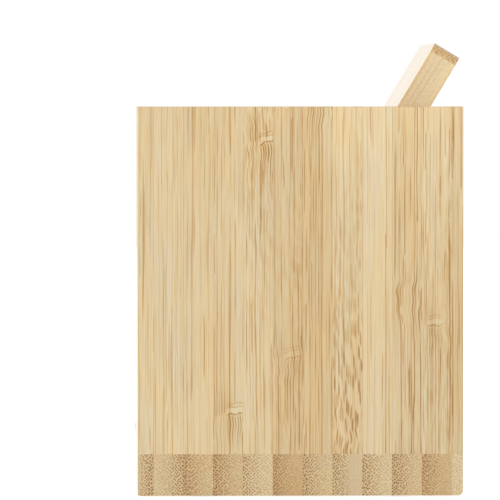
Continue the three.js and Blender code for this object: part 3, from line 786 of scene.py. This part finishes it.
wall_screw_nodes = [f"wall_screw_{wall}_{side}" for wall in ("outer", "inner") for side in ("front", "back")]
wall_screw_sizes = {
    "Head Radius": 3.4,
    "Head Height": 2.2,
    "Root Radius": 1.1,
    "Thread": 0.5,
    "Pitch": 1.5,
    "Length": 26.0,
    "Tip": 3.0,
    "Slot Reach": 1.9,
    "Slot Width": 0.9,
}
wall_screw_places = [underside(node) for node in wall_screw_nodes]
wall_screws = made_from(screw, "wall_screws", wall_screw_places, wall_screw_sizes, zinc, axis=(0, 0, -1))
fit(wall_screws, wall_screw_nodes, zinc)

out_of_back = (0, math.cos(lean), -math.sin(lean))
cover_head_radius = 1.8 * MM
cover_screw_nodes = [f"cover_screw_{level}_{side}" for level in ("lower", "upper") for side in ("left", "right")]
cover_screw_sizes = {
    "Head Radius": cover_head_radius / MM,
    "Head Height": 1.1,
    "Root Radius": 0.52,
    "Thread": 0.28,
    "Pitch": 0.62,
    "Length": 6.0,
    "Tip": 1.2,
    "Slot Reach": 1.0,
    "Slot Width": 0.5,
}
cover_screw_places = []
for node in cover_screw_nodes:
    low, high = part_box(node)
    face_y = high.y - cover_head_radius * math.sin(lean)
    face_z = low.z + cover_head_radius * math.cos(lean)
    cover_screw_places.append(((low.x + high.x) / 2, face_y, face_z))
cover_screws = made_from(screw, "cover_screws", cover_screw_places, cover_screw_sizes, zinc, axis=out_of_back)
fit(cover_screws, cover_screw_nodes, zinc)

# Foot pads
# Four thin pads of moulded black rubber, pressed into shallow seats in the underside. Fine rings in their tread keep
# the caddy from sliding.
pad, given = plan("pad_mould", ["Radius", "Thickness", "Rim", "Ring Spacing", "Ring Depth"])
disc = pad.node(
    "GeometryNodeMeshCylinder",
    {"fill_type": "TRIANGLE_FAN"},
    {"Vertices": 72, "Side Segments": 2, "Fill Segments": 40, "Radius": given["Radius"], "Depth": given["Thickness"]},
)
x, y, z = pad.node("GeometryNodeInputPosition").split()
from_middle = (x * x + y * y) ** 0.5
to_rim = from_middle - given["Radius"]
worn = to_rim.above(-given["Rim"], 0.0) * given["Rim"]
above_tread = z.above(given["Thickness"] * -0.5, given["Thickness"] * -0.45)
rings = pad.maths("SINE", from_middle * math.tau / given["Ring Spacing"]).above(0.0, 0.9)
tread = rings * to_rim.below(given["Rim"] * -3.0, given["Rim"] * -2.0) * (1 - above_tread) * given["Ring Depth"]
faces_up = z.above(given["Thickness"] * -0.2, given["Thickness"] * 0.2) * 2 - 1
moulded = moved(pad, disc, x, y, z - worn * faces_up + tread + given["Thickness"] / 2)
stand_at_places(pad, given, moulded)

RUBBER = paint(48, 47, 45)
RUBBER_DUST = paint(84, 82, 78)
rubber, shader, tone = finish("moulded_rubber", roughness=0.8)
dust = tone.speckle(500, 4.0)
grain = tone.speckle(4000, 2.0)
mottle(shader, dust.above(0.02, 0.3), RUBBER, RUBBER_DUST, 0.8 + grain * 0.2)
emboss(shader, grain, strength=0.25, depth=0.05 * MM)

pad_nodes = [f"foot_pad_{end}_{side}" for end in ("front", "back") for side in ("left", "right")]
pad_low, pad_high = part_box(pad_nodes[0])
pad_sizes = {
    "Radius": (pad_high.x - pad_low.x) / 2,
    "Thickness": pad_high.z - pad_low.z,
    "Rim": 0.2 * MM,
    "Ring Spacing": 0.9 * MM,
    "Ring Depth": 0.15 * MM,
}
foot_pads = made_from(pad, "foot_pads", [underside(node) for node in pad_nodes], pad_sizes, rubber)
fit(foot_pads, pad_nodes, rubber)

# Charging coil
# Twisted strands of enamelled copper wound flat from the middle outwards, taped to the floor of the pocket. Its two
# ends run down to the circuit board.
panel_rise = 148.3 * MM  # the panel's front face, up the slope
panel_thickness = 9.2 * MM
slope_foot = Vector(
    (
        (panel_low.x + panel_high.x) / 2,
        panel_high.y - panel_rise * math.sin(lean) - panel_thickness * math.cos(lean),
        panel_high.z - panel_rise * math.cos(lean),
    )
)
# Seen from behind the panel: x across it, y down the slope, z out of its back, from the foot of its front face.
behind = Matrix.Translation(slope_foot) @ Matrix.Rotation(-lean, 4, "X") @ Matrix.Rotation(-math.pi / 2, 4, "X")


def middle_of(node):
    low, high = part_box(node)
    return (low + high) / 2


def middle_behind(node):
    """The middle of a node as it is seen from behind the panel."""
    return behind.inverted() @ middle_of(node)


def finish_kept(material, *nodes):
    """Gives its finish to nodes of the frame that stay as they are."""
    for node in nodes:
        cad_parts[node].material_slots[0].material = material


winding, given = plan("coil_winder", ["Inner", "Outer", "Turns", "Wire", "Twist"])
spiral = winding.node(
    "GeometryNodeCurveSpiral",
    inputs={
        "Resolution": 72,
        "Rotations": given["Turns"],
        "Start Radius": given["Inner"] + given["Wire"],
        "End Radius": given["Outer"] - given["Wire"],
        "Height": 0.0,
    },
)
along_wire = winding.node("GeometryNodeSplineParameter", output="Length")
twisted = winding.node("GeometryNodeSetCurveTilt", inputs={"Curve": spiral, "Tilt": along_wire * given["Twist"]})
bare_ring = winding.node("GeometryNodeCurvePrimitiveCircle", {"mode": "RADIUS"}, {"Resolution": 14, "Radius": 1.0})
x, y, z = winding.node("GeometryNodeInputPosition").split()
lobe = 0.94 + winding.maths("COSINE", winding.maths("ARCTAN2", y, x) * 7.0) * 0.06
seven_strands = moved(winding, bare_ring, x * lobe * given["Wire"], y * lobe * given["Wire"], z)
wound = winding.node(
    "GeometryNodeCurveToMesh", inputs={"Curve": twisted, "Profile Curve": seven_strands, "Fill Caps": True}
)
stand_at_places(winding, given, wound)

COPPER = paint(196, 112, 62)
COPPER_SHADE = paint(150, 74, 38)
copper, shader, tone = finish("enamelled_wire", metallic=0.85, roughness=0.32, coat_weight=0.6, coat_roughness=0.15)
varnish = tone.speckle(400, 3.0)
mottle(shader, varnish * 1.4 + 0.5, COPPER, COPPER_SHADE, 0.32 + varnish * 0.25)

coil_places = [middle_behind("charging_coil")]
coil_sizes = {"Inner": 9 * MM, "Outer": 25 * MM, "Turns": 13.0, "Wire": 0.56 * MM, "Twist": 900.0}
wound_coil = made_from(winding, "wound_coil", coil_places, coil_sizes, copper, place=behind, crease=60)
fit(wound_coil, "charging_coil", copper)
finish_kept(copper, "coil_lead_a", "coil_lead_b")

# Tapes
# Thin double-sided tissue tape, cut to shape: a disc of it fixes the coil to the floor of the pocket, and a strip
# fixes the circuit board below the coil.
TAPE = paint(228, 224, 208)
TAPE_FIBRE = paint(206, 200, 180)
tape, shader, tone = finish("tissue_tape", roughness=0.55, coat_weight=0.3)
x, y, z = tone.here().split()
tissue = tone.cloud(x * 900, y * 300, z * 300, 4.0) + tone.cloud(x * 250, y * 900, z * 900, 3.0)
mottle(shader, tissue + 0.5, TAPE, TAPE_FIBRE, 0.55 + tissue * 0.3)
finish_kept(tape, "coil_tape", "board_tape")

# Ferrite
# Sintered iron oxide, dark grey and brittle: a square sheet behind the coil that keeps its field towards the phone,
# and the core of the filter's inductor. Tumbling has worn their edges smooth.
FERRITE = paint(58, 58, 60)
FERRITE_SPECK = paint(92, 92, 94)
ferrite, shader, tone = finish("sintered_ferrite", roughness=0.6, metallic=0.25)
sinter = tone.speckle(2500, 4.0)
mottle(shader, sinter.above(0.05, 0.3), FERRITE, FERRITE_SPECK, 0.6 + sinter * 0.3)
emboss(shader, sinter, strength=0.2, depth=0.03 * MM)
fit_eased("ferrite_shield", "ferrite_sheet", ferrite, ease=0.15 * MM)
fit_eased("filter_inductor", "inductor_core", ferrite, ease=0.5 * MM)

# Circuit board
# Glass laminate with a green solder mask over etched copper tracks. Its tongue reaches through a mortise to carry
# the inlet at the panel's side edge.
MASK_GREEN = paint(36, 92, 60)
MASK_OVER_TRACK = paint(58, 122, 76)
BARE_PAD = paint(206, 186, 120)
track_spacing = 1.1
laminate, shader, tone = finish("green_laminate", roughness=0.35, coat_weight=0.5, coat_roughness=0.1)
u, v, w = tone.laid_out(behind.to_3x3().inverted(), middle_of("controller_chip"))
bend = tone.maths("ROUND", tone.cloud(u * 0.12, v * 0.12, 3.0, 0.0) * 6.0)
track = abs(tone.maths("FRACT", (v + bend * 0.4) / track_spacing) - 0.5).below(0.12, 0.18)
from_via, via_chance = tone.cells(u / 3.1, v / 2.7, 0.8)
via = from_via.below(0.1, 0.13) * via_chance.split()[0].above(0.4, 0.45)
weave = tone.cloud(u * 3, v * 3, w, 3.0)
masked = (track * 0.8 + weave * 0.3).blend(MASK_GREEN, MASK_OVER_TRACK)
mottle(shader, via, masked, BARE_PAD, 0.35 + weave * 0.2 - via * 0.1)
feed(shader, "Metallic", via * 0.9)
emboss(shader, track, strength=0.3, depth=0.03 * MM)
fit_eased("circuit_board", "printed_board", laminate, ease=0.1 * MM)

# Chips
# Three packages of moulded black plastic, soldered down by small tinned leads round all four sides: the controller
# and the two power switches that drive the coil.
CHIP_BLACK = paint(30, 31, 33)
CHIP_GREY = paint(52, 53, 55)
chip_plastic, shader, tone = finish("moulded_chip", roughness=0.5)
matt = tone.speckle(5000, 2.0)
mottle(shader, matt.above(0.0, 0.3), CHIP_BLACK, CHIP_GREY, 0.5 + matt * 0.3)
emboss(shader, matt, strength=0.2, depth=0.01 * MM)


def row_of_blocks(tone, count, first, step, size):
    """Equal blocks in a row of a tree: how many, where the first is, how far the next is, and how large they are."""
    row = {"Count": count, "Start Location": first, "Offset": step}
    line = tone.node("GeometryNodeMeshLine", {"mode": "OFFSET"}, row)
    block = tone.node("GeometryNodeMeshCube", inputs={"Size": size})
    return tone.node("GeometryNodeInstanceOnPoints", inputs={"Points": line, "Instance": block})


legs, given = plan("leg_punch", ["Across", "Pitch", "Count", "Leg Width", "Leg Reach", "Leg Thickness", "All Sides"])
first_leg = (given["Count"] - 1) * given["Pitch"] * -0.5
leg_row = row_of_blocks(
    legs,
    given["Count"],
    first=legs.placed(first_leg, given["Across"] / 2, given["Leg Thickness"] / 2),
    step=legs.placed(given["Pitch"], 0.0, 0.0),
    size=legs.placed(given["Leg Width"], given["Leg Reach"], given["Leg Thickness"]),
)
all_rows = legs.tree.nodes.new("GeometryNodeJoinGeometry")
for quarter in range(4):
    turned_row = legs.node(
        "GeometryNodeTransform", inputs={"Geometry": leg_row, "Rotation": (0, 0, quarter * math.pi / 2)}
    )
    if quarter % 2:
        choice = {"Switch": given["All Sides"], "True": turned_row}
        turned_row = legs.node("GeometryNodeSwitch", {"input_type": "GEOMETRY"}, choice)
    legs.tree.links.new(all_rows.inputs[0], turned_row.socket)
stand_at_places(legs, given, Tone(legs.tree, all_rows.outputs[0]))

TIN = paint(196, 197, 196)
TIN_SHADE = paint(150, 152, 153)
tin, shader, tone = finish("solder_tin", metallic=1.0, roughness=0.25)
frost = tone.speckle(3000, 3.0)
mottle(shader, frost * 1.5 + 0.5, TIN, TIN_SHADE, 0.25 + frost * 0.3)
board_back = 3.9 * MM  # the board's back, where its parts stand, behind the panel's front face


def solder(name, nodes, sizes, ease, lift=0.0):
    """Puts tinned pieces on the board at the foot of each of the nodes."""
    places = []
    for node in nodes:
        middle = middle_behind(node)
        places.append((middle.x, middle.y, board_back + lift))
    fit(made_from(legs, name, places, sizes, tin, place=behind, ease=ease), None, tin)


for name, nodes, side, count in (
    ("controller", ["controller_chip"], 6.0 * MM, 8),
    ("bridge", ["bridge_chip_lower", "bridge_chip_upper"], 3.3 * MM, 4),
):
    fit_eased(nodes, f"{name}_package", chip_plastic, ease=0.12 * MM)
    leg_sizes = {
        "Across": side,
        "Pitch": 0.65 * MM,
        "Count": count,
        "Leg Width": 0.3 * MM,
        "Leg Reach": 0.7 * MM,
        "Leg Thickness": 0.2 * MM,
        "All Sides": 1.0,
    }
    solder(f"{name}_pins", nodes, leg_sizes, ease=0.04 * MM)

# Capacitors
# Four blocks of fired ceramic that tune the coil. Both ends of each are dipped in tin, and hold it to the board
# with solder.
CERAMIC = paint(176, 141, 98)
CERAMIC_SHADE = paint(150, 118, 80)
ceramic, shader, tone = finish("fired_ceramic", roughness=0.45, coat_weight=0.2)
fired = tone.speckle(1500, 4.0)
mottle(shader, fired * 1.6 + 0.5, CERAMIC, CERAMIC_SHADE, 0.45 + fired * 0.3)
capacitor_nodes = [f"resonant_capacitor_{letter}" for letter in "abcd"]
fit_eased(capacitor_nodes, "capacitor_blocks", ceramic, ease=0.15 * MM)
cap_sizes = {
    "Across": 2.8 * MM,
    "Pitch": 0.0,
    "Count": 1,
    "Leg Width": 2.6 * MM,
    "Leg Reach": 0.5 * MM,
    "Leg Thickness": 1.75 * MM,
    "All Sides": 0.0,
}
solder("capacitor_caps", capacitor_nodes, cap_sizes, ease=0.12 * MM, lift=0.08 * MM)

# Inlet
# A small reversible power socket at the panel's side edge: a shell drawn from nickel-plated sheet round a black
# tongue with twelve gilded contacts on each of its faces.
NICKEL = paint(198, 199, 201)
NICKEL_SHADE = paint(166, 167, 170)
nickel, shader, tone = finish("nickel_sheet", metallic=1.0, roughness=0.22)
x, y, z = tone.here().split()
drawn = tone.cloud(x * 300, y * 6000, z * 6000, 3.0)
mottle(shader, drawn * 1.5 + 0.5, NICKEL, NICKEL_SHADE, 0.22 + drawn * 0.3)
finish_kept(nickel, "usb_port_shell")
finish_kept(chip_plastic, "usb_port_tongue")

GILT = paint(214, 178, 96)
GILT_SHADE = paint(176, 138, 66)
gilt, shader, tone = finish("gilded_contact", metallic=1.0, roughness=0.25)
x, y, z = tone.here().split()
wiped = tone.cloud(x * 900, y * 4000, z * 4000, 2.0)
mottle(shader, wiped * 1.5 + 0.5, GILT, GILT_SHADE, 0.25 + wiped * 0.2)

contacts_a_side = 12
contact_inset = 2.2 * MM  # from the tongue's open end to the middle of a contact
contact_lift = 0.34 * MM  # from the middle of the tongue to the middle of a contact
tongue_middle = middle_behind("usb_port_tongue")
contact_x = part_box("usb_port_tongue")[0].x + contact_inset - slope_foot.x
contact_places = [(contact_x, tongue_middle.y, tongue_middle.z + side * contact_lift) for side in (-1, 1)]
contacts, given = plan("contact_punch", ["Length", "Width", "Thickness", "Pitch"])
contact_row = row_of_blocks(
    contacts,
    contacts_a_side,
    first=contacts.placed(0.0, given["Pitch"] * (-(contacts_a_side - 1) / 2), 0.0),
    step=contacts.placed(0.0, given["Pitch"], 0.0),
    size=contacts.placed(given["Length"], given["Width"], given["Thickness"]),
)
stand_at_places(contacts, given, contact_row)
contact_sizes = {"Length": 2.0 * MM, "Width": 0.26 * MM, "Thickness": 0.08 * MM, "Pitch": 0.5 * MM}
port_contacts = made_from(contacts, "port_contacts", contact_places, contact_sizes, gilt, place=behind)
fit(port_contacts, None, gilt)

# Light
# A small white light on the board shows through a milky moulded lens that is pressed into the front of the panel.
# The lens is slightly domed, up to the level of the wood.
MILK = paint(236, 236, 230)
MILK_SHADE = paint(214, 216, 214)
milky, shader, tone = finish("milky_lens", roughness=0.18, coat_weight=0.6, coat_roughness=0.05)
milk = tone.speckle(1200, 3.0)
mottle(shader, milk * 1.4 + 0.5, MILK, MILK_SHADE, 0.18 + milk * 0.1)
fit_eased("status_led", "status_light", milky, ease=0.08 * MM)

lens_low, lens_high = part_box("led_lens")
lens_radius = (lens_high.x - lens_low.x) / 2
lens_middle = middle_behind("led_lens")
lens_dome = 0.35 * MM
dome_rings = 8
lens_profile = []
for ring in range(1, dome_rings + 1):
    turn = math.pi / 2 * ring / dome_rings
    lens_profile.append((lens_dome * (1 - math.cos(turn)), lens_radius * math.sin(turn)))
lens_profile.append((lens_middle.z * 2, lens_radius))
in_lens_hole = Matrix.Translation((lens_middle.x, lens_middle.y, 0)) @ Matrix.Rotation(-math.pi / 2, 4, "Y")
lens_button = set_down(turned(lens_profile, 48), "lens_button", behind @ in_lens_hole)
lens_button.data.shade_smooth()
lens_button.data.set_sharp_from_angle(angle=math.radians(35))
fit(lens_button, "led_lens", milky)
